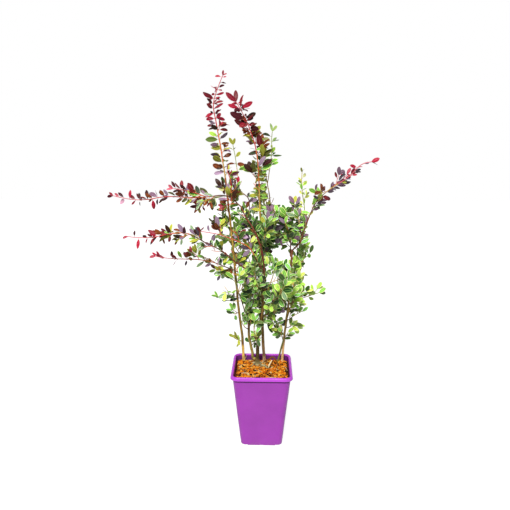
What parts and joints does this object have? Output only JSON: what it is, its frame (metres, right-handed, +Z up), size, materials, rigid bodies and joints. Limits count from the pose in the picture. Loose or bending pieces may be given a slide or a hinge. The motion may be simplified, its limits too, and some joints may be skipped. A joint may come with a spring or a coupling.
{
  "type": "japanese barberry",
  "caption": "Young barberry shrub with slender stems, long leafy side arms and red leaders, in a square tapered nursery pot.",
  "frame": {"origin": "centre of the pot's flat underside", "axes": "+Z up, +X to the right as seen from the front, so the front of the pot faces -Y"},
  "size_m": [0.6305, 0.3056, 0.8936],
  "materials": {
    "pot_plastic": "satin moulded plastic",
    "potting_mix": "loose bark chips and coir",
    "stem_left_bark": "fine bark",
    "stem_centre_bark": "fine bark",
    "stem_crown_bark": "fine bark",
    "stem_crown_left_bark": "fine bark",
    "stem_right_bark": "fine bark",
    "stem_right_thin_bark": "fine bark",
    "bough_arm_top_bark": "fine bark",
    "bough_arm_mid_bark": "fine bark",
    "bough_arm_low_bark": "fine bark",
    "bough_right_arm_bark": "fine bark",
    "bough_right_inner_bark": "fine bark",
    "bough_back_left_bark": "fine bark",
    "bough_back_right_bark": "fine bark",
    "bough_back_top_bark": "fine bark",
    "bough_front_left_bark": "fine bark",
    "bough_front_right_bark": "fine bark",
    "leader_left_foliage": "leaves with a soft sheen",
    "leader_centre_foliage": "leaves with a soft sheen",
    "leader_right_foliage": "leaves with a soft sheen",
    "shoot_tall_foliage": "leaves with a soft sheen",
    "arm_left_upper_foliage": "leaves with a soft sheen",
    "arm_left_middle_foliage": "leaves with a soft sheen",
    "spray_left_foliage": "leaves with a soft sheen",
    "arm_left_low_foliage": "leaves with a soft sheen",
    "twig_low_left_foliage": "leaves with a soft sheen",
    "twig_foot_left_foliage": "leaves with a soft sheen",
    "tuft_left_foliage": "leaves with a soft sheen",
    "arm_right_foliage": "leaves with a soft sheen",
    "shoulder_right_foliage": "leaves with a soft sheen",
    "shoulder_pale_foliage": "leaves with a soft sheen",
    "shoulder_inner_foliage": "leaves with a soft sheen",
    "column_right_foliage": "leaves with a soft sheen",
    "arm_low_right_foliage": "leaves with a soft sheen",
    "tuft_low_right_foliage": "leaves with a soft sheen",
    "twig_foot_right_foliage": "leaves with a soft sheen",
    "core_bridge_foliage": "leaves with a soft sheen",
    "core_thin_tip_foliage": "leaves with a soft sheen",
    "core_upper_left_foliage": "leaves with a soft sheen",
    "core_upper_foliage": "leaves with a soft sheen",
    "core_upper_front_foliage": "leaves with a soft sheen",
    "core_upper_back_foliage": "leaves with a soft sheen",
    "core_mid_left_foliage": "leaves with a soft sheen",
    "core_mid_back_foliage": "leaves with a soft sheen",
    "core_centre_foliage": "leaves with a soft sheen",
    "core_low_foliage": "leaves with a soft sheen",
    "core_low_front_foliage": "leaves with a soft sheen",
    "core_low_left_foliage": "leaves with a soft sheen",
    "core_mid_front_foliage": "leaves with a soft sheen",
    "core_mid_right_foliage": "leaves with a soft sheen",
    "core_low_right_foliage": "leaves with a soft sheen",
    "back_left_foliage": "leaves with a soft sheen",
    "back_right_foliage": "leaves with a soft sheen",
    "back_top_foliage": "leaves with a soft sheen",
    "back_low_foliage": "leaves with a soft sheen",
    "front_left_foliage": "leaves with a soft sheen",
    "front_right_foliage": "leaves with a soft sheen"
  },
  "bodies": {
    "root": {"pot": "pot_plastic", "potting_mix": "potting_mix", "stem_left": "stem_left_bark", "stem_centre": "stem_centre_bark", "stem_crown": "stem_crown_bark", "stem_crown_left": "stem_crown_left_bark", "stem_right": "stem_right_bark", "stem_right_thin": "stem_right_thin_bark", "bough_arm_top": "bough_arm_top_bark", "bough_arm_mid": "bough_arm_mid_bark", "bough_arm_low": "bough_arm_low_bark", "bough_right_arm": "bough_right_arm_bark", "bough_right_inner": "bough_right_inner_bark", "bough_back_left": "bough_back_left_bark", "bough_back_right": "bough_back_right_bark", "bough_back_top": "bough_back_top_bark", "bough_front_left": "bough_front_left_bark", "bough_front_right": "bough_front_right_bark", "leader_left": "leader_left_foliage", "leader_centre": "leader_centre_foliage", "leader_right": "leader_right_foliage", "shoot_tall": "shoot_tall_foliage", "arm_left_upper": "arm_left_upper_foliage", "arm_left_middle": "arm_left_middle_foliage", "spray_left": "spray_left_foliage", "arm_left_low": "arm_left_low_foliage", "twig_low_left": "twig_low_left_foliage", "twig_foot_left": "twig_foot_left_foliage", "tuft_left": "tuft_left_foliage", "arm_right": "arm_right_foliage", "shoulder_right": "shoulder_right_foliage", "shoulder_pale": "shoulder_pale_foliage", "shoulder_inner": "shoulder_inner_foliage", "column_right": "column_right_foliage", "arm_low_right": "arm_low_right_foliage", "tuft_low_right": "tuft_low_right_foliage", "twig_foot_right": "twig_foot_right_foliage", "core_bridge": "core_bridge_foliage", "core_thin_tip": "core_thin_tip_foliage", "core_upper_left": "core_upper_left_foliage", "core_upper": "core_upper_foliage", "core_upper_front": "core_upper_front_foliage", "core_upper_back": "core_upper_back_foliage", "core_mid_left": "core_mid_left_foliage", "core_mid_back": "core_mid_back_foliage", "core_centre": "core_centre_foliage", "core_low": "core_low_foliage", "core_low_front": "core_low_front_foliage", "core_low_left": "core_low_left_foliage", "core_mid_front": "core_mid_front_foliage", "core_mid_right": "core_mid_right_foliage", "core_low_right": "core_low_right_foliage", "back_left": "back_left_foliage", "back_right": "back_right_foliage", "back_top": "back_top_foliage", "back_low": "back_low_foliage", "front_left": "front_left_foliage", "front_right": "front_right_foliage"}
  },
  "joints": []
}
